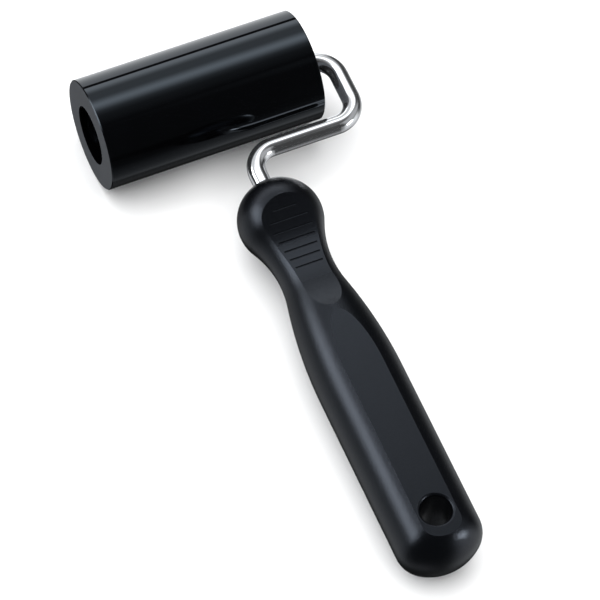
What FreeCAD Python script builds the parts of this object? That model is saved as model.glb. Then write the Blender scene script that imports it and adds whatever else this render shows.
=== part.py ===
import FreeCAD, Part
import math
import os
import Sketcher

from FreeCAD import Placement, Rotation, Vector

# Hand brayer: a rubber roller on two ball bearings, on one bent steel rod with a
# moulded handle.  The pieces are drawn in the axle's own frame: origin at the
# middle of the roller, +X along the axle towards the bent arm, +Y away from the
# handle, +Z out of the plane of the rod.  One placement then stands them on the
# ground: the roller and the far end of the handle both touch z = 0.

SIZES = {
    # rubber sleeve
    "sleeve_diameter": 30.0,
    "sleeve_bore": 16.0,
    "sleeve_length": 60.0,
    "sleeve_edge": 0.25,
    # core tube inside the sleeve
    "core_length": 50.0,
    "core_bore": 11.5,
    "seat_depth": 6.0,
    # ball bearings, 5 x 13 x 4 mm
    "bearing_bore": 5.0,
    "bearing_outside": 13.0,
    "bearing_width": 4.0,
    "inner_land": 7.8,
    "outer_land": 10.2,
    "pitch_diameter": 9.0,
    "ball_diameter": 1.96,
    "groove_diameter": 2.08,
    "cage_inside": 8.2,
    "cage_outside": 9.8,
    "cage_width": 2.6,
    "pocket_diameter": 2.2,
    "shield_outside": 11.2,
    "shield_inside": 8.1,
    "shield_depth": 0.5,
    "shield_thickness": 0.25,
    # rod, with its washers and retaining rings
    "rod_diameter": 5.0,
    "rod_end": 26.2,
    "rod_chamfer": 0.5,
    "arm_distance": 37.6,
    "cross_distance": 20.4,
    "bend_radius": 6.5,
    "handle_offset": 5.8,
    "tang_end": 72.0,
    "ear_start": 53.0,
    "ear_length": 8.0,
    "ear_span": 7.6,
    "ear_thickness": 3.6,
    "washer_bore": 5.1,
    "washer_outside": 7.6,
    "washer_thickness": 0.5,
    "ring_groove": 4.0,
    "ring_outside": 9.0,
    "ring_thickness": 0.7,
    "ring_mouth": 3.2,
    "ring_relief": 5.6,
    "ring_relief_width": 1.6,
    # handle, distances measured from the axle along the handle
    "ball_distance": 41.6,
    "ball_radius": 11.3,
    "waist_distance": 58.6,
    "waist_curve": 29.5,
    "shoulder_curve": 126.0,
    "grip_radius": 11.4,
    "end_distance": 147.9,
    "end_dome": 14.0,
    "end_corner": 7.0,
    "flat_height": 10.2,
    "flat_start": 74.0,
    "hang_distance": 136.0,
    "hang_diameter": 8.0,
    "hang_rounding": 0.8,
    # thumb rest: a hollow of two arcs with cross grooves in it
    "scoop_distance": 55.0,
    "scoop_height": 5.95,
    "scoop_head_curve": 24.0,
    "scoop_tip_curve": 46.0,
    "scoop_top": 13.0,
    "rib_first": 43.1,
    "rib_pitch": 2.65,
    "rib_radius": 0.28,
    "field_head_distance": 47.5,
    "field_head_radius": 5.5,
    "field_tip_distance": 60.0,
    "field_tip_radius": 3.55,
}
BALL_COUNT = 8
RIB_COUNT = 7
SIDES = {"outboard": -1, "inboard": 1}
ALONG_X = Rotation(Vector(0, 1, 0), 90)

document = FreeCAD.newDocument("brayer")
sheet = document.addObject("Spreadsheet::Sheet", "Sizes")
for row, (alias, size) in enumerate(SIZES.items(), start=1):
    sheet.set("A%d" % row, alias)
    sheet.set("B%d" % row, str(size))
    sheet.setAlias("B%d" % row, alias)
document.recompute()


def size(alias):
    """The value of a cell of the sheet, in millimetres or degrees."""
    return float(sheet.get(alias))


def linked(formula):
    """A formula of cell names, written so that an object outside the sheet reads it."""
    words = []
    for word in formula.replace("(", "( ").replace(")", " )").split():
        words.append("Sizes." + word if word in SIZES else word)
    return " ".join(words)


def bind(item, **formulas):
    """Tie properties of an object to the sheet; __ in a name stands for a dot."""
    for name, formula in formulas.items():
        item.setExpression(name.replace("__", "."), linked(formula))
    return item


# ---------------------------------------------------------------- shared makers

def boolean(kind, name, base, tool):
    """A Part::Cut or Part::Common of two objects."""
    item = document.addObject("Part::" + kind, name)
    item.Base = base
    item.Tool = tool
    return item


def joined(name, items):
    """One fused shape of several objects; solids that lie apart stay apart."""
    item = document.addObject("Part::MultiFuse", name)
    item.Shapes = items
    return item


def disc(name, diameter, length, start):
    """A cylinder along the axle that begins at x = start."""
    item = document.addObject("Part::Cylinder", name)
    item.Placement = Placement(Vector(0, 0, 0), ALONG_X)
    return bind(item, Radius="( %s ) / 2" % diameter, Height=length, Placement__Base__x=start)


def ring(name, outside, inside, length, start):
    """A plain ring round the axle that begins at x = start."""
    outer = disc(name + "_outer", outside, length, start)
    inner = disc(name + "_inner", inside, length, start)
    return boolean("Cut", name, outer, inner)


def sphere_ring(name, diameter, centre):
    """Balls of one diameter, evenly spaced on the bearing's pitch circle at x = centre."""
    balls = []
    for index in range(BALL_COUNT):
        turn = 360.0 * index / BALL_COUNT
        ball = document.addObject("Part::Sphere", "%s_%d" % (name, index + 1))
        bind(
            ball,
            Radius=diameter + " / 2",
            Placement__Base__x=centre,
            Placement__Base__y="pitch_diameter / 2 * cos( %g deg )" % turn,
            Placement__Base__z="pitch_diameter / 2 * sin( %g deg )" % turn,
        )
        balls.append(ball)
    return joined(name, balls)


def new_body(name):
    return document.addObject("PartDesign::Body", name)


def sketch_on(body, role, name):
    """An empty sketch on one of the body's own origin planes."""
    sketch = body.newObject("Sketcher::SketchObject", name)
    plane = [item for item in body.Origin.OriginFeatures if item.Role == role][0]
    sketch.AttachmentSupport = [(plane, "")]
    sketch.MapMode = "FlatFace"
    return sketch


def value_of(sketch, formula):
    """The present value of a formula of the sheet."""
    found = sketch.evalExpression(linked(formula))
    return float(getattr(found, "Value", found))


def drive(sketch, formula, kind, *where):
    """Add a dimension to the sketch and tie it to the sheet."""
    value = value_of(sketch, formula)
    index = sketch.addConstraint(Sketcher.Constraint(kind, *where, value))
    sketch.setExpression("Constraints[%d]" % index, linked(formula))


def rectangle(sketch, left, low, width, height):
    """A rectangle whose corner, width and height are formulas of the sheet."""
    corner = Vector(value_of(sketch, left), value_of(sketch, low), 0)
    across = Vector(value_of(sketch, width), 0, 0)
    up = Vector(0, value_of(sketch, height), 0)
    points = [corner, corner + across, corner + across + up, corner + up]
    lines = [
        sketch.addGeometry(Part.LineSegment(points[index], points[(index + 1) % 4]), False)
        for index in range(4)
    ]
    for index in range(4):
        following = lines[(index + 1) % 4]
        sketch.addConstraint(Sketcher.Constraint("Coincident", lines[index], 2, following, 1))
        direction = "Vertical" if index % 2 else "Horizontal"
        sketch.addConstraint(Sketcher.Constraint(direction, lines[index]))
    drive(sketch, left, "DistanceX", -1, 1, lines[0], 1)
    drive(sketch, low, "DistanceY", -1, 1, lines[0], 1)
    drive(sketch, width, "DistanceX", lines[0], 1, lines[0], 2)
    drive(sketch, height, "DistanceY", lines[1], 1, lines[1], 2)


def add_arc(sketch, centre, radius, start, end):
    """A counter-clockwise arc between two points, given in the sketch's plane."""
    first = math.atan2(start.y - centre.y, start.x - centre.x)
    last = math.atan2(end.y - centre.y, end.x - centre.x)
    circle = Part.Circle(centre, Vector(0, 0, 1), radius)
    return sketch.addGeometry(Part.ArcOfCircle(circle, first, last), False)


def feature(body, kind, name, **values):
    item = body.newObject("PartDesign::" + kind, name)
    for key, value in values.items():
        setattr(item, key, value)
    return item


def pocket(body, name, outline):
    """Cut the outline right through the handle, and make sure that it removed something."""
    before = body.Tip.Shape.Volume
    cut = feature(body, "Pocket", name, Profile=outline, SideType="Symmetric")
    bind(cut, Length="4 * grip_radius")
    document.recompute()
    assert cut.Shape.Volume < before - 50, name + " removed nothing"
    return cut


# ---------------------------------------------------------------- roller

def rubber_sleeve():
    body = new_body("rubber_sleeve")
    sketch = sketch_on(body, "YZ_Plane", "sleeve_section")
    for alias in ("sleeve_diameter", "sleeve_bore"):
        circle = Part.Circle(Vector(0, 0, 0), Vector(0, 0, 1), size(alias) / 2)
        index = sketch.addGeometry(circle, False)
        sketch.addConstraint(Sketcher.Constraint("Coincident", index, 3, -1, 1))
        drive(sketch, alias, "Diameter", index)
    tube = feature(body, "Pad", "sleeve_tube", Profile=sketch, SideType="Symmetric")
    bind(tube, Length="sleeve_length")
    document.recompute()
    rims = [
        "Edge%d" % number
        for number, edge in enumerate(tube.Shape.Edges, start=1)
        if edge.isClosed() and abs(edge.Curve.Radius - size("sleeve_diameter") / 2) < 0.01
    ]
    eased = feature(body, "Chamfer", "sleeve_edges", Base=(tube, rims))
    bind(eased, Size="sleeve_edge")
    return body


def core_tube():
    """A tube with a counterbored bearing seat at each end."""
    outer = disc("core_outer", "sleeve_bore", "core_length", "- core_length / 2")
    bore = disc("core_through", "core_bore", "core_length", "- core_length / 2")
    seats = [
        disc("core_seat_outboard", "bearing_outside", "seat_depth", "- core_length / 2"),
        disc("core_seat_inboard", "bearing_outside", "seat_depth", "core_length / 2 - seat_depth"),
    ]
    return boolean("Cut", "core_tube", outer, joined("core_hollow", [bore] + seats))


# ---------------------------------------------------------------- bearings

def bearing(side, sign):
    """The pieces of one shielded ball bearing, each an object of its own."""
    centre = "%d * ( core_length / 2 - seat_depth + bearing_width / 2 )" % sign
    start = centre + " - bearing_width / 2"

    def piece(name):
        return side + "_bearing_" + name

    def race(name, outside, inside):
        blank = ring(piece(name + "_blank"), outside, inside, "bearing_width", start)
        track = document.addObject("Part::Torus", piece(name + "_track"))
        track.Placement = Placement(Vector(0, 0, 0), ALONG_X)
        bind(
            track,
            Radius1="pitch_diameter / 2",
            Radius2="groove_diameter / 2",
            Placement__Base__x=centre,
        )
        return blank, track

    def shield(name, place):
        start_of = centre + " %s - shield_thickness / 2" % place
        return ring(piece(name), "shield_outside", "shield_inside", "shield_thickness", start_of)

    blank, track = race("inner_ring", "inner_land", "bearing_bore")
    inner_ring = boolean("Cut", piece("inner_ring"), blank, track)

    blank, track = race("outer_ring", "bearing_outside", "outer_land")
    recesses = [
        disc(piece("recess_low"), "shield_outside", "shield_depth", start),
        disc(piece("recess_high"), "shield_outside", "shield_depth",
             centre + " + bearing_width / 2 - shield_depth"),
    ]
    hollow = joined(piece("outer_ring_hollow"), [track] + recesses)
    outer_ring = boolean("Cut", piece("outer_ring"), blank, hollow)

    balls = sphere_ring(piece("balls"), "ball_diameter", centre)
    band = ring(piece("cage_band"), "cage_outside", "cage_inside", "cage_width",
                centre + " - cage_width / 2")
    pockets = sphere_ring(piece("cage_pockets"), "pocket_diameter", centre)
    cage = boolean("Cut", piece("cage"), band, pockets)

    offset = "( bearing_width / 2 - shield_depth + shield_thickness / 2 )"
    outer_shield = shield("outer_shield", "%+d * %s" % (sign, offset))
    inner_shield = shield("inner_shield", "%+d * %s" % (-sign, offset))
    return [inner_ring, outer_ring, balls, cage, outer_shield, inner_shield]


# ---------------------------------------------------------------- rod

def washer_start(sign):
    """Where the thrust washer of one side begins: it lies on the bearing's outer face."""
    face = "( core_length / 2 - seat_depth + bearing_width )"
    if sign > 0:
        return face
    return "- %s - washer_thickness" % face


def ring_start(sign):
    """Where the retaining ring of one side begins: it lies on the thrust washer."""
    face = "( core_length / 2 - seat_depth + bearing_width + washer_thickness )"
    if sign > 0:
        return face
    return "- %s - ring_thickness" % face


def thrust_washer(side, sign):
    return ring(side + "_thrust_washer", "washer_outside", "washer_bore", "washer_thickness",
                washer_start(sign))


def retaining_ring(side, sign):
    """An E ring: three inner lobes grip the groove, and its mouth lets it slip on."""
    name = side + "_retaining_ring"
    start = ring_start(sign)
    blank = ring(name + "_blank", "ring_outside", "ring_groove", "ring_thickness", start)
    mouth = document.addObject("Part::Box", name + "_mouth")
    bind(
        mouth,
        Length="ring_thickness",
        Width="ring_mouth",
        Height="ring_outside",
        Placement__Base__x=start,
        Placement__Base__y="- ring_mouth / 2",
    )
    relief = ring(name + "_relief", "ring_relief", "ring_groove", "ring_thickness", start)
    slots = []
    for turn in (-60, 60):
        slot = document.addObject("Part::Box", "%s_slot_%s" % (name, "left" if turn < 0 else "right"))
        slot.Placement = Placement(Vector(0, 0, 0), Rotation(Vector(1, 0, 0), 180 + turn))
        bind(
            slot,
            Length="ring_thickness",
            Width="ring_relief_width",
            Height="ring_outside",
            Placement__Base__x=start,
        )
        slots.append(slot)
    reliefs = boolean("Common", name + "_reliefs", relief, joined(name + "_slots", slots))
    return boolean("Cut", name, blank, joined(name + "_hollow", [mouth, reliefs]))


def rod_route():
    """The corners of the rod's centre line, before its bends are rounded."""
    arm = size("arm_distance")
    cross = -size("cross_distance")
    handle = size("handle_offset")
    return [
        Vector(-size("rod_end"), 0, 0),
        Vector(arm, 0, 0),
        Vector(arm, cross, 0),
        Vector(handle, cross, 0),
        Vector(handle, -size("tang_end"), 0),
    ]


def bent_line(sketch, corners, radius):
    """Straight runs joined by tangent arcs; returns the indices of runs and bends."""
    starts, ends = [corners[0]], []
    for before, corner, after in zip(corners, corners[1:], corners[2:]):
        ends.append(corner + (before - corner).normalize() * radius)
        starts.append(corner + (after - corner).normalize() * radius)
    ends.append(corners[-1])
    runs = [
        sketch.addGeometry(Part.LineSegment(start, end), False)
        for start, end in zip(starts, ends)
    ]
    bends = []
    for index in range(len(corners) - 2):
        start, end = ends[index], starts[index + 1]
        centre = start + end - corners[index + 1]
        clockwise = (start - centre).cross(end - centre).z < 0
        if clockwise:
            bends.append(add_arc(sketch, centre, radius, end, start))
        else:
            bends.append(add_arc(sketch, centre, radius, start, end))
        first, last = (2, 1) if clockwise else (1, 2)
        sketch.addConstraint(Sketcher.Constraint("Tangent", runs[index], 2, bends[index], first))
        sketch.addConstraint(Sketcher.Constraint("Tangent", bends[index], last, runs[index + 1], 1))
    return runs, bends


def is_rod_end(edge):
    """True for the two round edges where the rod is cut off."""
    middle = edge.BoundBox.Center
    return (
        abs(middle.x + size("rod_end")) < 0.01
        or abs(middle.y + size("tang_end")) < 0.01
    )


def frame_rod():
    """The bent rod: axle, arm, cross run and the tang with ears inside the handle."""
    body = new_body("frame_rod")
    route = sketch_on(body, "XY_Plane", "rod_route")
    runs, bends = bent_line(route, rod_route(), size("bend_radius"))
    axle, arm, cross, tang = runs
    route.addConstraint(Sketcher.Constraint("PointOnObject", axle, 1, -1))
    route.addConstraint(Sketcher.Constraint("Horizontal", axle))
    route.addConstraint(Sketcher.Constraint("Vertical", arm))
    route.addConstraint(Sketcher.Constraint("Horizontal", cross))
    route.addConstraint(Sketcher.Constraint("Vertical", tang))
    for bend in bends:
        drive(route, "bend_radius", "Radius", bend)
    drive(route, "rod_end", "DistanceX", axle, 1, -1, 1)
    drive(route, "arm_distance", "DistanceX", -1, 1, arm, 1)
    drive(route, "cross_distance", "DistanceY", cross, 1, -1, 1)
    drive(route, "handle_offset", "DistanceX", -1, 1, tang, 1)
    drive(route, "tang_end", "DistanceY", tang, 2, -1, 1)

    section = sketch_on(body, "YZ_Plane", "rod_section")
    bind(section, AttachmentOffset__Base__z="- rod_end")
    circle = section.addGeometry(
        Part.Circle(Vector(0, 0, 0), Vector(0, 0, 1), size("rod_diameter") / 2), False)
    section.addConstraint(Sketcher.Constraint("Coincident", circle, 3, -1, 1))
    drive(section, "rod_diameter", "Diameter", circle)
    document.recompute()
    bar = feature(body, "AdditivePipe", "rod_bar", Profile=section, Spine=(route, []))
    document.recompute()

    ends = [
        "Edge%d" % number
        for number, edge in enumerate(bar.Shape.Edges, start=1)
        if edge.isClosed() and is_rod_end(edge)
    ]
    eased = feature(body, "Chamfer", "rod_ends", Base=(bar, ends))
    bind(eased, Size="rod_chamfer")

    ears = sketch_on(body, "XY_Plane", "ear_outline")
    bind(ears, AttachmentOffset__Base__x="handle_offset")
    rectangle(ears, "- ear_span / 2", "- ear_start - ear_length", "ear_span", "ear_length")
    swaged = feature(body, "Pad", "rod_ears", Profile=ears, SideType="Symmetric")
    bind(swaged, Length="ear_thickness")

    for side, sign in SIDES.items():
        groove = sketch_on(body, "XY_Plane", side + "_groove_section")
        depth = "( rod_diameter - ring_groove ) / 2"
        rectangle(groove, ring_start(sign), "ring_groove / 2", "ring_thickness", depth + " + 0.1")
        feature(body, "Groove", side + "_ring_groove", Profile=groove,
                ReferenceAxis=(groove, ["H_Axis"]), Angle=360.0)
    return body


# ---------------------------------------------------------------- handle

def touching(centre, radius, other):
    """The point of a circle on the line from its centre to another circle's centre."""
    return centre + (other - centre).normalize() * radius


def handle_profile(body):
    """Half the handle's outline: ball, waist, shoulder, straight grip and rounded end."""
    sketch = sketch_on(body, "XY_Plane", "handle_profile")
    bind(sketch, AttachmentOffset__Base__x="handle_offset")
    grip = size("grip_radius")
    ball = Vector(0, -size("ball_distance"), 0)
    apart = size("ball_radius") + size("waist_curve")
    along = size("waist_distance") - size("ball_distance")
    waist = Vector(math.sqrt(apart ** 2 - along ** 2), -size("waist_distance"), 0)
    rise = waist.x - (grip - size("shoulder_curve"))
    reach = size("waist_curve") + size("shoulder_curve")
    shoulder = Vector(waist.x - rise, waist.y - math.sqrt(reach ** 2 - rise ** 2), 0)
    dome = Vector(0, -size("end_distance") + size("end_dome"), 0)
    corner_side = grip - size("end_corner")
    corner_reach = size("end_dome") - size("end_corner")
    corner = Vector(corner_side, dome.y - math.sqrt(corner_reach ** 2 - corner_side ** 2), 0)

    top = ball + Vector(0, size("ball_radius"), 0)
    ball_end = touching(ball, size("ball_radius"), waist)
    waist_end = touching(waist, size("waist_curve"), shoulder)
    grip_start = Vector(grip, shoulder.y, 0)
    grip_end = Vector(grip, corner.y, 0)
    corner_end = touching(dome, size("end_dome"), corner)
    pole = Vector(0, -size("end_distance"), 0)

    ball_arc = add_arc(sketch, ball, size("ball_radius"), ball_end, top)
    waist_arc = sketch.addGeometry(
        Part.Arc(ball_end, waist - Vector(size("waist_curve"), 0, 0), waist_end), False)
    shoulder_arc = add_arc(sketch, shoulder, size("shoulder_curve"), grip_start, waist_end)
    side = sketch.addGeometry(Part.LineSegment(grip_start, grip_end), False)
    corner_arc = add_arc(sketch, corner, size("end_corner"), corner_end, grip_end)
    dome_arc = add_arc(sketch, dome, size("end_dome"), pole, corner_end)
    axis = sketch.addGeometry(Part.LineSegment(pole, top), False)

    joints = [
        (ball_arc, 1, waist_arc, 1),
        (waist_arc, 2, shoulder_arc, 2),
        (shoulder_arc, 1, side, 1),
        (side, 2, corner_arc, 2),
        (corner_arc, 1, dome_arc, 2),
    ]
    for joint in joints:
        sketch.addConstraint(Sketcher.Constraint("Tangent", *joint))
    sketch.addConstraint(Sketcher.Constraint("Coincident", dome_arc, 1, axis, 1))
    sketch.addConstraint(Sketcher.Constraint("Coincident", axis, 2, ball_arc, 2))
    sketch.addConstraint(Sketcher.Constraint("PointOnObject", axis, 1, -2))
    sketch.addConstraint(Sketcher.Constraint("Vertical", axis))
    sketch.addConstraint(Sketcher.Constraint("PointOnObject", ball_arc, 3, -2))
    sketch.addConstraint(Sketcher.Constraint("PointOnObject", dome_arc, 3, -2))
    drive(sketch, "ball_distance", "DistanceY", ball_arc, 3, -1, 1)
    drive(sketch, "ball_radius", "Radius", ball_arc)
    drive(sketch, "waist_distance", "DistanceY", waist_arc, 3, -1, 1)
    drive(sketch, "waist_curve", "Radius", waist_arc)
    drive(sketch, "shoulder_curve", "Radius", shoulder_arc)
    drive(sketch, "grip_radius", "DistanceX", -1, 1, side, 1)
    drive(sketch, "end_corner", "Radius", corner_arc)
    drive(sketch, "end_dome", "Radius", dome_arc)
    drive(sketch, "end_distance", "DistanceY", axis, 1, -1, 1)
    return sketch


def long_flat(body):
    """The flat that runs along the grip to its far end."""
    outline = sketch_on(body, "YZ_Plane", "flat_outline")
    rectangle(outline, "- end_distance", "flat_height", "end_distance - flat_start", "grip_radius")
    return pocket(body, "handle_flat", outline)


def thumb_hollow(body):
    """The hollow of the thumb rest: a tight arc at its head and a slower one at its tip."""
    outline = sketch_on(body, "YZ_Plane", "scoop_outline")
    low = Vector(-size("scoop_distance"), size("scoop_height"), 0)
    top = size("scoop_top")
    centres, rims = [], []
    for alias, toward in (("scoop_head_curve", 1), ("scoop_tip_curve", -1)):
        radius = size(alias)
        reach = math.sqrt(radius ** 2 - (radius - top + low.y) ** 2)
        centres.append(low + Vector(0, radius, 0))
        rims.append(Vector(low.x + toward * reach, top, 0))
    head = add_arc(outline, centres[0], size("scoop_head_curve"), low, rims[0])
    tip = add_arc(outline, centres[1], size("scoop_tip_curve"), rims[1], low)
    lid = outline.addGeometry(Part.LineSegment(rims[0], rims[1]), False)
    outline.addConstraint(Sketcher.Constraint("Tangent", tip, 2, head, 1))
    outline.addConstraint(Sketcher.Constraint("Vertical", head, 3, head, 1))
    outline.addConstraint(Sketcher.Constraint("Coincident", head, 2, lid, 1))
    outline.addConstraint(Sketcher.Constraint("Coincident", lid, 2, tip, 1))
    outline.addConstraint(Sketcher.Constraint("Horizontal", lid))
    drive(outline, "scoop_distance", "DistanceX", head, 1, -1, 1)
    drive(outline, "scoop_height", "DistanceY", -1, 1, head, 1)
    drive(outline, "scoop_top", "DistanceY", -1, 1, lid, 1)
    drive(outline, "scoop_head_curve", "Radius", head)
    drive(outline, "scoop_tip_curve", "Radius", tip)
    return pocket(body, "thumb_hollow", outline)


def hang_hole(body):
    """The hole through the far end of the handle, with its two rims rounded."""
    outline = sketch_on(body, "XY_Plane", "hang_hole_outline")
    bind(outline, AttachmentOffset__Base__x="handle_offset")
    radius = size("hang_diameter") / 2
    centre = Vector(0, -size("hang_distance"), 0)
    circle = outline.addGeometry(Part.Circle(centre, Vector(0, 0, 1), radius), False)
    outline.addConstraint(Sketcher.Constraint("PointOnObject", circle, 3, -2))
    drive(outline, "hang_distance", "DistanceY", circle, 3, -1, 1)
    drive(outline, "hang_diameter", "Diameter", circle)
    drilled = pocket(body, "hang_hole", outline)

    rims = [
        "Edge%d" % number
        for number, edge in enumerate(drilled.Shape.Edges, start=1)
        if is_hang_rim(edge)
    ]
    rounded = feature(body, "Fillet", "hang_hole_rims", Base=(drilled, rims))
    bind(rounded, Radius="hang_rounding")


def is_hang_rim(edge):
    """True for the closed edges that follow the wall of the hang hole."""
    if edge.Degenerated or not edge.isClosed():
        return False
    return all(
        abs(math.hypot(point.x - size("handle_offset"), point.y + size("hang_distance"))
            - size("hang_diameter") / 2) < 0.01
        for point in edge.discretize(9)
    )


def handle_blank():
    """The turned shape of the handle with its long flat, thumb rest and hang hole."""
    body = new_body("handle_blank")
    profile = handle_profile(body)
    feature(body, "Revolution", "handle_turned", Profile=profile,
            ReferenceAxis=(profile, ["V_Axis"]), Angle=360.0)
    document.recompute()
    long_flat(body)
    thumb_hollow(body)
    hang_hole(body)
    return body


def rib_field():
    """A tongue-shaped block that limits how far the cross grooves reach."""
    body = new_body("rib_field")
    outline = sketch_on(body, "XY_Plane", "rib_field_outline")
    bind(outline, AttachmentOffset__Base__x="handle_offset")
    head = Vector(0, -size("field_head_distance"), 0)
    tip = Vector(0, -size("field_tip_distance"), 0)
    head_radius = size("field_head_radius")
    tip_radius = size("field_tip_radius")
    lean = (head_radius - tip_radius) / (head.y - tip.y)
    right = Vector(math.sqrt(1 - lean ** 2), -lean, 0)
    left = Vector(-right.x, right.y, 0)
    corners = [
        head + right * head_radius,
        head + left * head_radius,
        tip + left * tip_radius,
        tip + right * tip_radius,
    ]
    head_arc = add_arc(outline, head, head_radius, corners[0], corners[1])
    left_line = outline.addGeometry(Part.LineSegment(corners[1], corners[2]), False)
    tip_arc = add_arc(outline, tip, tip_radius, corners[2], corners[3])
    right_line = outline.addGeometry(Part.LineSegment(corners[3], corners[0]), False)
    chain = [head_arc, left_line, tip_arc, right_line]
    for index in range(4):
        following = chain[(index + 1) % 4]
        outline.addConstraint(Sketcher.Constraint("Tangent", chain[index], 2, following, 1))
    outline.addConstraint(Sketcher.Constraint("PointOnObject", head_arc, 3, -2))
    outline.addConstraint(Sketcher.Constraint("PointOnObject", tip_arc, 3, -2))
    drive(outline, "field_head_distance", "DistanceY", head_arc, 3, -1, 1)
    drive(outline, "field_tip_distance", "DistanceY", tip_arc, 3, -1, 1)
    drive(outline, "field_head_radius", "Radius", head_arc)
    drive(outline, "field_tip_radius", "Radius", tip_arc)
    block = feature(body, "Pad", "rib_field_block", Profile=outline)
    bind(block, Length="scoop_top")
    return body


def thumb_ribs():
    """Round-bottomed cross grooves, evenly spaced along the hollow of the thumb rest."""
    grooves = []
    for index in range(RIB_COUNT):
        groove = document.addObject("Part::Cylinder", "rib_%d" % (index + 1))
        groove.Placement = Placement(Vector(0, 0, 0), ALONG_X)
        at_head = size("rib_first") + index * size("rib_pitch") < size("scoop_distance")
        curve = "scoop_head_curve" if at_head else "scoop_tip_curve"
        distance = "( rib_first + %d * rib_pitch )" % index
        sink = "sqrt( %s ^ 2 - ( %s - scoop_distance ) ^ 2 )" % (curve, distance)
        bind(
            groove,
            Radius="rib_radius",
            Height="2 * grip_radius",
            Placement__Base__x="handle_offset - grip_radius",
            Placement__Base__y="- " + distance,
            Placement__Base__z="scoop_height + %s - %s" % (curve, sink),
        )
        grooves.append(groove)
    return boolean("Common", "thumb_ribs", rib_field(), joined("rib_cutters", grooves))


def tang_sockets():
    """The space that the rod's tang and its ears fill inside the handle."""
    tang = document.addObject("Part::Cylinder", "tang_socket")
    tang.Placement = Placement(Vector(0, 0, 0), Rotation(Vector(1, 0, 0), 90))
    bind(
        tang,
        Radius="rod_diameter / 2",
        Height="tang_end - cross_distance - bend_radius",
        Placement__Base__x="handle_offset",
        Placement__Base__y="- cross_distance - bend_radius",
    )
    ears = document.addObject("Part::Box", "ear_socket")
    bind(
        ears,
        Length="ear_span",
        Width="ear_length",
        Height="ear_thickness",
        Placement__Base__x="handle_offset - ear_span / 2",
        Placement__Base__y="- ear_start - ear_length",
        Placement__Base__z="- ear_thickness / 2",
    )
    return [tang, ears]


def handle():
    """The moulded handle, hollow where the rod's tang is held."""
    removed = joined("handle_hollows", [thumb_ribs()] + tang_sockets())
    return boolean("Cut", "handle", handle_blank(), removed)


# ---------------------------------------------------------------- assembly

def standing():
    """The placement that rests the roller and the handle's far end on the ground."""
    corner_side = size("grip_radius") - size("end_corner")
    corner_reach = size("end_dome") - size("end_corner")
    dome = size("end_distance") - size("end_dome")
    corner = dome + math.sqrt(corner_reach ** 2 - corner_side ** 2)
    roller = size("sleeve_diameter") / 2
    drop = math.asin((roller - size("end_corner")) / math.hypot(corner, corner_side))
    tilt = drop - math.atan2(corner_side, corner)
    right = size("arm_distance") + size("rod_diameter") / 2
    left = size("sleeve_length") / 2
    back = dome * math.cos(tilt) + size("end_dome")
    middle = Vector((left - right) / 2, (back - roller) / 2, roller)
    return Placement(middle, Rotation(Vector(1, 0, 0), math.degrees(tilt)))


def build():
    pieces = [rubber_sleeve(), core_tube(), frame_rod(), handle()]
    for side, sign in SIDES.items():
        pieces += bearing(side, sign)
        pieces += [thrust_washer(side, sign), retaining_ring(side, sign)]
    place = standing()
    for piece in pieces:
        piece.Placement = place
    document.recompute()
    return pieces


def check(pieces):
    """Stop if any object failed to build or any piece is not a sound solid."""
    for item in document.Objects:
        for problem in ("Invalid", "Error"):
            if problem in item.State:
                raise RuntimeError("%s is %s" % (item.Name, problem))
    for piece in pieces:
        shape = piece.Shape
        if shape.isNull() or not shape.isValid() or not shape.Solids:
            raise RuntimeError("%s has no sound solid" % piece.Label)


def write(pieces):
    os.makedirs("parts", exist_ok=True)
    for piece in pieces:
        piece.Shape.exportStep("parts/%s.step" % piece.Label)
        box = piece.Shape.BoundBox
        print("%-32s %2d solid %10.2f mm3  x %7.2f %7.2f  y %7.2f %7.2f  z %6.2f %6.2f" % (
            piece.Label, len(piece.Shape.Solids), piece.Shape.Volume,
            box.XMin, box.XMax, box.YMin, box.YMax, box.ZMin, box.ZMax))


pieces = build()
check(pieces)
write(pieces)
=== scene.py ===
import math

import bpy
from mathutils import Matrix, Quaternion, Vector


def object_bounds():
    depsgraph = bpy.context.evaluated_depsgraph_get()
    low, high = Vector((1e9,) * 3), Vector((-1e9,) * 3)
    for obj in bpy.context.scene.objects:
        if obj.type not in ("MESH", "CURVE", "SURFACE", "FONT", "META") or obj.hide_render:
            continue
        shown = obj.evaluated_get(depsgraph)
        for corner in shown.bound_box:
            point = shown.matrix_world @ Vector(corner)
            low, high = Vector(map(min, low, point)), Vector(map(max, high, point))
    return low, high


# Hand brayer: a rubber roller on two ball bearings, a bent steel rod and a moulded
# handle.  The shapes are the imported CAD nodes; this script gives them their finishes,
# a pale floor, soft studio light and a camera.  Lengths are in metres, angles in degrees.

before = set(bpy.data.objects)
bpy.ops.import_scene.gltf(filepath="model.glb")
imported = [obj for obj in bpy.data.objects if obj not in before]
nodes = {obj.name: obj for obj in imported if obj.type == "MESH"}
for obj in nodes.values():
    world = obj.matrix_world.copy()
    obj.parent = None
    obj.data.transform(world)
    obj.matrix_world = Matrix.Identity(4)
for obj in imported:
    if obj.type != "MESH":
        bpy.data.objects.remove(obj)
cad_low, cad_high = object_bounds()

SIDES = ("outboard", "inboard")


# ---------------------------------------------------------------- shader building

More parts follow.
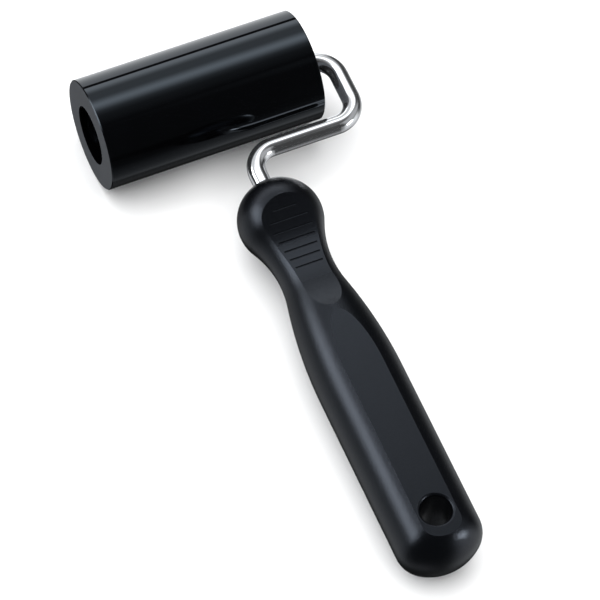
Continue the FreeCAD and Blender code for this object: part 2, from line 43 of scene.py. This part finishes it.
class Graph:
    """A node tree under construction, with short calls for the nodes it needs."""

    def __init__(self, tree):
        self.tree = tree

    def add(self, kind, **settings):
        node = self.tree.nodes.new(kind)
        for name, value in settings.items():
            setattr(node, name, value)
        return node

    def feed(self, socket, value):
        """Connect a socket if the value is another socket, or else set its constant."""
        if isinstance(value, bpy.types.NodeSocket):
            self.tree.links.new(value, socket)
        else:
            socket.default_value = value

    def math(self, operation, *values):
        node = self.add("ShaderNodeMath", operation=operation)
        for socket, value in zip(node.inputs, values):
            self.feed(socket, value)
        return node.outputs[0]

    def plus(self, first, second):
        return self.math("ADD", first, second)

    def times(self, first, second):
        return self.math("MULTIPLY", first, second)

    def split(self, vector):
        """The X, Y and Z outputs of a vector."""
        node = self.add("ShaderNodeSeparateXYZ")
        self.feed(node.inputs[0], vector)
        return node.outputs

    def dot(self, first, second):
        node = self.add("ShaderNodeVectorMath", operation="DOT_PRODUCT")
        self.feed(node.inputs[0], first)
        self.feed(node.inputs[1], second)
        return node.outputs["Value"]

    def spread(self, value, low, high, start=0.0, end=1.0):
        """Map a value from low..high to start..end, held at the ends."""
        node = self.add("ShaderNodeMapRange")
        for name, amount in (("Value", value), ("From Min", low), ("From Max", high),
                             ("To Min", start), ("To Max", end)):
            self.feed(node.inputs[name], amount)
        return node.outputs["Result"]


class Shader(Graph):
    """A material with one surface shader, whose patterns lie in the object's own place."""

    def __init__(self, name):
        self.material = bpy.data.materials.new(name)
        self.material.use_nodes = True
        super().__init__(self.material.node_tree)
        self.tree.nodes.clear()
        output = self.add("ShaderNodeOutputMaterial")
        self.surface = self.add("ShaderNodeBsdfPrincipled")
        self.feed(output.inputs["Surface"], self.surface.outputs["BSDF"])
        self.place = self.add("ShaderNodeTexCoord").outputs["Object"]

    def set(self, **values):
        """Set inputs of the surface shader; __ in a name stands for a space."""
        for name, value in values.items():
            self.feed(self.surface.inputs[name.replace("__", " ")], value)

    def stretched(self, scale):
        """The place on the object, scaled differently along each axis."""
        node = self.add("ShaderNodeMapping")
        self.feed(node.inputs["Vector"], self.place)
        node.inputs["Scale"].default_value = scale
        return node.outputs["Vector"]

    def noise(self, scale, detail, roughness, where=None):
        """Cloudy noise from 0 to 1; scale is in features per metre."""
        node = self.add("ShaderNodeTexNoise")
        self.feed(node.inputs["Vector"], where or self.place)
        self.feed(node.inputs["Scale"], scale)
        self.feed(node.inputs["Detail"], detail)
        self.feed(node.inputs["Roughness"], roughness)
        return node.outputs["Fac"]

    def cells(self, scale, smoothness):
        """Rounded pits, as the distance from the middle of each cell."""
        node = self.add("ShaderNodeTexVoronoi", feature="SMOOTH_F1")
        self.feed(node.inputs["Vector"], self.place)
        self.feed(node.inputs["Scale"], scale)
        self.feed(node.inputs["Smoothness"], smoothness)
        return node.outputs["Distance"]

    def blend(self, share, first, second):
        """A colour between two, where a share of 0 is the first and 1 the second."""
        node = self.add("ShaderNodeMix", data_type="RGBA")
        self.feed(node.inputs["Factor"], share)
        self.feed(node.inputs["A"], first)
        self.feed(node.inputs["B"], second)
        return node.outputs["Result"]

    def bump(self, height, distance, strength, under=None):
        """A surface normal tilted by a height pattern, on top of the one under it if given."""
        node = self.add("ShaderNodeBump")
        self.feed(node.inputs["Height"], height)
        self.feed(node.inputs["Distance"], distance)
        self.feed(node.inputs["Strength"], strength)
        if under is not None:
            self.feed(node.inputs["Normal"], under)
        return node.outputs["Normal"]

    def facing(self, axis):
        """How far the surface faces along an axis of the object, from 0 to 1."""
        normal = self.add("ShaderNodeTexCoord").outputs["Normal"]
        return self.math("ABSOLUTE", self.split(normal)[axis])

    def along(self, axis):
        """The place along an axis of the object, in metres."""
        return self.split(self.place)[axis]

    def edges(self, reach):
        """0 on open faces, rising to 1 on edges, where a bevelled normal turns away."""
        bevel = self.add("ShaderNodeBevel", samples=6)
        self.feed(bevel.inputs["Radius"], reach)
        flat = self.add("ShaderNodeNewGeometry").outputs["Normal"]
        return self.spread(self.dot(bevel.outputs["Normal"], flat), low=0.99, high=0.8)


def colour(red, green, blue):
    return (red, green, blue, 1.0)


# ---------------------------------------------------------------- finishes

def rubber():
    """Glossy ground rubber on the tread, matt grey where the ends are cut square."""
    shader = Shader("roller_rubber")
    cut = shader.spread(shader.facing("X"), low=0.75, high=0.9)
    cloud = shader.noise(scale=90.0, detail=4.0, roughness=0.55)
    grain = shader.noise(scale=5200.0, detail=2.0, roughness=0.6)
    tread = shader.blend(cloud, colour(0.0004, 0.0004, 0.0005), colour(0.0008, 0.0008, 0.0010))
    sawn = shader.blend(grain, colour(0.036, 0.036, 0.039), colour(0.048, 0.049, 0.052))
    gloss = shader.spread(cloud, low=0.3, high=0.7, start=0.03, end=0.045)
    cut_dulling = shader.times(cut, 0.55)
    grain_strength = shader.spread(cut, low=0.0, high=1.0, start=0.02, end=0.5)
    shader.set(
        Base__Color=shader.blend(cut, tread, sawn),
        Roughness=shader.plus(gloss, cut_dulling),
        Specular__IOR__Level=0.68,
        Specular__Tint=colour(0.73, 0.86, 1.0),
        Normal=shader.bump(grain, distance=0.00002, strength=grain_strength),
    )
    return shader.material


def moulded_plastic():
    """Satin blue-black plastic with a sparked grain, and a duller flat and thumb rest.

    The faces square to Z shine less towards the far end: a painted fading of the reflection,
    standing in for light that falls off along the handle.
    """
    shader = Shader("handle_plastic")
    cloud = shader.noise(scale=55.0, detail=5.0, roughness=0.6)
    grain = shader.noise(scale=1900.0, detail=4.0, roughness=0.7)
    pits = shader.cells(scale=2600.0, smoothness=0.6)
    # The edges are given a lighter colour than the rest of the handle.
    lighter_edges = shader.times(shader.edges(reach=0.0005), 0.35)
    flat = shader.spread(shader.facing("Z"), low=0.985, high=0.998)
    far_end, thumb_rest = -0.072, 0.004
    # Painted shade: the flat reflects less towards the far end, in place of light falling off
    # along the handle.
    painted_flat_shine_fade = shader.spread(shader.along("Y"), far_end, thumb_rest, start=0.30, end=0.63)
    flat_dulling = shader.times(flat, 0.17)
    base = shader.blend(cloud, colour(0.0012, 0.0014, 0.0019), colour(0.0018, 0.0020, 0.0026))
    edge_colour = colour(0.012, 0.0125, 0.014)
    satin = shader.spread(cloud, low=0.25, high=0.75, start=0.23, end=0.27)
    pitted = shader.bump(pits, distance=0.00003, strength=0.5)
    shader.set(
        Base__Color=shader.blend(lighter_edges, base, edge_colour),
        Roughness=shader.plus(satin, flat_dulling),
        Specular__IOR__Level=shader.spread(flat, low=0.0, high=1.0, start=0.51, end=painted_flat_shine_fade),
        Specular__Tint=colour(0.76, 0.85, 1.0),
        Normal=shader.bump(grain, distance=0.00005, strength=0.9, under=pitted),
    )
    return shader.material


def drawn_chrome():
    """Polished plated rod with faint waves left by bending, and its end painted dark and dull:
    painted shade that keeps the roller's bore black.
    """
    shader = Shader("rod_chrome")
    haze = shader.noise(scale=140.0, detail=4.0, roughness=0.55)
    waves = shader.noise(scale=700.0, detail=3.0, roughness=0.55)
    # Painted shade: the rod's end inside the bore is given a dark colour, so the bore shows black.
    shade_starts, shade_full = -0.0296, -0.0300
    painted_end_shade = shader.spread(shader.along("X"), shade_starts, shade_full)
    plated = shader.blend(haze, colour(0.84, 0.85, 0.87), colour(0.92, 0.92, 0.93))
    polish = shader.spread(haze, low=0.3, high=0.7, start=0.08, end=0.13)
    shaded_end_dulling = shader.times(painted_end_shade, 0.45)
    shader.set(
        Base__Color=shader.blend(painted_end_shade, plated, colour(0.06, 0.06, 0.065)),
        Metallic=0.98,
        Roughness=shader.plus(polish, shaded_end_dulling),
        Normal=shader.bump(waves, distance=0.00001, strength=0.4),
    )
    return shader.material


def metal(name, dark, light, rough, scale=(1.0, 1.0, 1.0), depth=0.00001):
    """Plain machined, pressed or plated metal; scale stretches its fine marks."""
    shader = Shader(name)
    marks = shader.noise(scale=2400.0, detail=3.0, roughness=0.6, where=shader.stretched(scale))
    cloud = shader.noise(scale=260.0, detail=3.0, roughness=0.5)
    worn = shader.times(shader.edges(reach=0.0002), 0.5)
    base = shader.blend(cloud, colour(*dark), colour(*light))
    wear_gain = 1.25
    bright = colour(*[min(1.0, part * wear_gain) for part in light])
    shader.set(
        Base__Color=shader.blend(worn, base, bright),
        Metallic=1.0,
        Roughness=shader.spread(marks, low=0.3, high=0.7, start=rough * 0.85, end=rough * 1.15),
        Normal=shader.bump(marks, distance=depth, strength=0.4),
    )
    return shader.material


def core_plastic():
    """Black moulded core with the dull skin of a part that is never seen."""
    shader = Shader("core_plastic")
    cloud = shader.noise(scale=120.0, detail=3.0, roughness=0.5)
    grain = shader.noise(scale=2600.0, detail=3.0, roughness=0.6)
    shader.set(
        Base__Color=shader.blend(cloud, colour(0.008, 0.008, 0.009), colour(0.013, 0.013, 0.014)),
        Roughness=shader.spread(cloud, low=0.3, high=0.7, start=0.5, end=0.62),
        Normal=shader.bump(grain, distance=0.00002, strength=0.4),
    )
    return shader.material


def phosphated_steel():
    """Dark phosphated spring steel, mottled and dry."""
    shader = Shader("spring_steel")
    mottle = shader.noise(scale=900.0, detail=5.0, roughness=0.7)
    shader.set(
        Base__Color=shader.blend(mottle, colour(0.030, 0.030, 0.033), colour(0.075, 0.075, 0.08)),
        Metallic=0.7,
        Roughness=shader.spread(mottle, low=0.3, high=0.7, start=0.38, end=0.55),
        Normal=shader.bump(mottle, distance=0.00001, strength=0.5),
    )
    return shader.material


def dress(node, material):
    """Give a node one finish all over."""
    mesh = nodes[node].data
    mesh.materials.clear()
    mesh.materials.append(material)
    mesh.polygons.foreach_set("material_index", [0] * len(mesh.polygons))


def dress_bearings():
    """Finish the bearings and the washers and rings beside them, alike on both sides."""
    ground = metal(
        "bearing_steel", (0.50, 0.51, 0.53), (0.60, 0.61, 0.62), rough=0.16, scale=(8.0, 1.0, 1.0))
    polished = metal(
        "ball_steel", (0.72, 0.73, 0.74), (0.78, 0.78, 0.79), rough=0.06, depth=0.000002)
    strip = metal("cage_steel", (0.38, 0.39, 0.41), (0.48, 0.49, 0.50), rough=0.3)
    pressed = metal(
        "shield_steel", (0.46, 0.47, 0.49), (0.56, 0.56, 0.57), rough=0.24, scale=(1.0, 3.0, 3.0))
    plated = metal("washer_steel", (0.50, 0.50, 0.50), (0.62, 0.61, 0.59), rough=0.28)
    finishes = {
        "bearing_inner_ring": ground,
        "bearing_outer_ring": ground,
        "bearing_balls": polished,
        "bearing_cage": strip,
        "bearing_outer_shield": pressed,
        "bearing_inner_shield": pressed,
        "thrust_washer": plated,
        "retaining_ring": phosphated_steel(),
    }
    for side in SIDES:
        for piece, finish in finishes.items():
            dress(side + "_" + piece, finish)


def dress_all():
    dress("rubber_sleeve", rubber())
    dress("core_tube", core_plastic())
    dress("frame_rod", drawn_chrome())
    dress("handle", moulded_plastic())
    dress_bearings()


# ---------------------------------------------------------------- stage

def toward(azimuth, elevation):
    """A unit direction; azimuth turns from +X towards +Y."""
    turn, lift = math.radians(azimuth), math.radians(elevation)
    return Vector((
        math.cos(lift) * math.cos(turn), math.cos(lift) * math.sin(turn), math.sin(lift)))


def floor(size):
    """A plain pale floor, a little uneven in tone, that the brayer rests on."""
    bpy.ops.mesh.primitive_plane_add(size=size, location=(0, 0, cad_low.z))
    plane = bpy.context.object
    plane.name = "floor"
    shader = Shader("floor_paper")
    tone = shader.noise(scale=3.0, detail=2.0, roughness=0.5)
    shader.set(
        Base__Color=shader.blend(tone, colour(0.84, 0.84, 0.84), colour(0.87, 0.87, 0.87)),
        Roughness=0.9,
        Specular__IOR__Level=0.1,
    )
    plane.data.materials.append(shader.material)
    plane.visible_glossy = False


class Sky(Graph):
    """The lights round the table, as brightness by direction.

    The floor doesn't show in reflections, so polished faces also mirror what is below it.
    """

    def __init__(self):
        self.world = bpy.data.worlds.new("studio")
        self.world.use_nodes = True
        super().__init__(self.world.node_tree)
        self.direction = self.add("ShaderNodeTexCoord").outputs["Generated"]
        self.x, self.y, self.z = self.split(self.direction)
        self.lift = self.math("ARCSINE", self.z)
        self.total = 0.0

    def edge(self, angle, off, on):
        """A smooth step of an angle, 0 at off and 1 at on."""
        node = self.add("ShaderNodeMapRange", interpolation_type="SMOOTHSTEP")
        self.feed(node.inputs["Value"], angle)
        self.feed(node.inputs["From Min"], math.radians(off))
        self.feed(node.inputs["From Max"], math.radians(on))
        return node.outputs["Result"]

    def window(self, angle, low, high, low_soft, high_soft=None):
        """1 between two angles, falling smoothly to 0 outside them."""
        high_soft = low_soft if high_soft is None else high_soft
        return self.times(
            self.edge(angle, low - low_soft, low + low_soft),
            self.edge(angle, high + high_soft, high - high_soft))

    def turn_from(self, azimuth):
        """The azimuth of the direction, measured from the given one."""
        turn = math.radians(azimuth)
        ahead = self.plus(
            self.times(self.x, math.cos(turn)),
            self.times(self.y, math.sin(turn)))
        aside = self.math(
            "SUBTRACT",
            self.times(self.y, math.cos(turn)),
            self.times(self.x, math.sin(turn)))
        return self.math("ARCTAN2", aside, ahead)

    def zenith(self, middle, outer, inner, dim, bright):
        """Start the sky off dim, and brighter round a middle direction."""
        self.total = self.spread(self.dot(self.direction, middle), outer, inner, dim, bright)

    def glow(self, *windows, brightness):
        """Add light where all the windows are open."""
        for window in windows:
            brightness = self.times(brightness, window)
        self.total = self.plus(self.total, brightness)

    def soft_box(self, brightness, azimuth, half_turn, turn_soft, low, high, low_soft,
                 high_soft=None):
        """Add a card half_turn to each side of an azimuth, between two elevations."""
        self.glow(
            self.window(self.turn_from(azimuth), -half_turn, half_turn, turn_soft),
            self.window(self.lift, low, high, low_soft, high_soft),
            brightness=brightness)

    def finish(self, tint):
        """Light the scene with the sky, and show a plain pale backdrop in its place."""
        background = self.tree.nodes["Background"]
        background.inputs["Color"].default_value = tint
        seen = self.add("ShaderNodeLightPath").outputs["Is Camera Ray"]
        self.feed(background.inputs["Strength"], self.spread(seen, 0.0, 1.0, self.total, 1.0))
        bpy.context.scene.world = self.world


def overhead_bank(sky):
    """A long strip light along X, above and behind the roller, with a brighter core."""
    roll = sky.math("ARCTAN2", sky.z, sky.y)
    length = sky.window(sky.math("ARCSINE", sky.x), low=-35.0, high=38.0, low_soft=12.0)
    breadth = sky.window(roll, low=23.0, high=81.0, low_soft=4.0, high_soft=12.0)
    core = sky.window(roll, low=60.0, high=74.0, low_soft=9.0)
    sky.glow(length, breadth, brightness=0.5)
    sky.glow(length, core, brightness=1.5)


def cards_behind(sky):
    """A wide card behind, a bright one at the left, and a dim one below that."""
    sky.soft_box(
        brightness=1.7, azimuth=110.0, half_turn=50.0, turn_soft=10.0,
        low=17.2, high=28.0, low_soft=0.4, high_soft=11.0)
    sky.soft_box(
        brightness=3.7, azimuth=158.0, half_turn=22.0, turn_soft=10.0,
        low=10.0, high=34.0, low_soft=6.0)
    sky.soft_box(
        brightness=0.35, azimuth=157.0, half_turn=26.0, turn_soft=15.0,
        low=-45.0, high=-2.0, low_soft=8.0)


def cards_at_the_right(sky):
    """A small hot card at the right, towards the handle's end, and broad dim ones by it."""
    sky.soft_box(
        brightness=16.0, azimuth=-46.0, half_turn=6.0, turn_soft=7.0,
        low=3.0, high=16.0, low_soft=6.0)
    sky.soft_box(
        brightness=0.75, azimuth=-39.0, half_turn=25.0, turn_soft=12.0,
        low=-28.0, high=12.0, low_soft=14.0, high_soft=8.0)
    sky.soft_box(
        brightness=0.36, azimuth=-24.0, half_turn=32.0, turn_soft=10.0,
        low=18.0, high=59.0, low_soft=10.0, high_soft=8.0)


def cards_below(sky):
    """Cards below the table top, one of which rises a little above it at the back."""
    sky.soft_box(
        brightness=0.4, azimuth=-15.0, half_turn=50.0, turn_soft=15.0,
        low=-62.0, high=-25.0, low_soft=4.0, high_soft=14.0)
    sky.soft_box(
        brightness=0.28, azimuth=-170.0, half_turn=70.0, turn_soft=20.0,
        low=-60.0, high=-44.0, low_soft=4.0, high_soft=14.0)
    sky.soft_box(
        brightness=1.1, azimuth=69.0, half_turn=14.0, turn_soft=7.0,
        low=-58.0, high=9.8, low_soft=14.0, high_soft=0.4)
    sky.soft_box(
        brightness=0.10, azimuth=90.0, half_turn=115.0, turn_soft=25.0,
        low=-60.0, high=-12.0, low_soft=4.0, high_soft=8.0)
    sky.soft_box(
        brightness=0.06, azimuth=-50.0, half_turn=38.0, turn_soft=14.0,
        low=-86.0, high=-28.0, low_soft=3.0, high_soft=12.0)


def studio():
    """An overhead bank, bright cards behind, left and right, and a dim camera side."""
    sky = Sky()
    sky.zenith(middle=(-0.05, 0.35, 0.93), outer=0.72, inner=0.93, dim=0.03, bright=0.15)
    overhead_bank(sky)
    cards_behind(sky)
    cards_at_the_right(sky)
    cards_below(sky)
    sky.finish(tint=colour(0.96, 0.98, 1.0))


def overhead_light(width, watts, place):
    """One large soft light, nearly straight above, that leaves no highlight on the brayer."""
    lamp_data = bpy.data.lights.new("overhead", "AREA")
    lamp_data.shape = "DISK"
    lamp_data.size = width
    lamp_data.energy = watts
    lamp = bpy.data.objects.new("overhead", lamp_data)
    lamp.location = place
    lamp.visible_camera = False
    lamp.visible_glossy = False
    bpy.context.scene.collection.objects.link(lamp)


def camera(target, azimuth, elevation, distance, roll, lens):
    """A camera that looks at the target from a direction; the lens is in millimetres."""
    lens_data = bpy.data.cameras.new("camera")
    lens_data.lens = lens
    lens_data.sensor_width = 36.0
    lens_data.clip_start = 0.05
    lens_data.clip_end = 20.0
    holder = bpy.data.objects.new("camera", lens_data)
    back = toward(azimuth, elevation)
    holder.location = Vector(target) + back * distance
    holder.rotation_mode = "QUATERNION"
    level = back.to_track_quat("Z", "Y")
    holder.rotation_quaternion = level @ Quaternion((0, 0, 1), math.radians(roll))
    bpy.context.scene.collection.objects.link(holder)
    bpy.context.scene.camera = holder


dress_all()
floor(size=20.0)
studio()
overhead_light(width=12.0, watts=1000.0, place=(0.0, 0.5, 6.4))
camera(
    target=(-0.00359, 0.00226, 0.012), azimuth=-118.471, elevation=59.1285,
    distance=1.00361, roll=5.678, lens=236.745)
bpy.context.scene.view_settings.view_transform = "Standard"
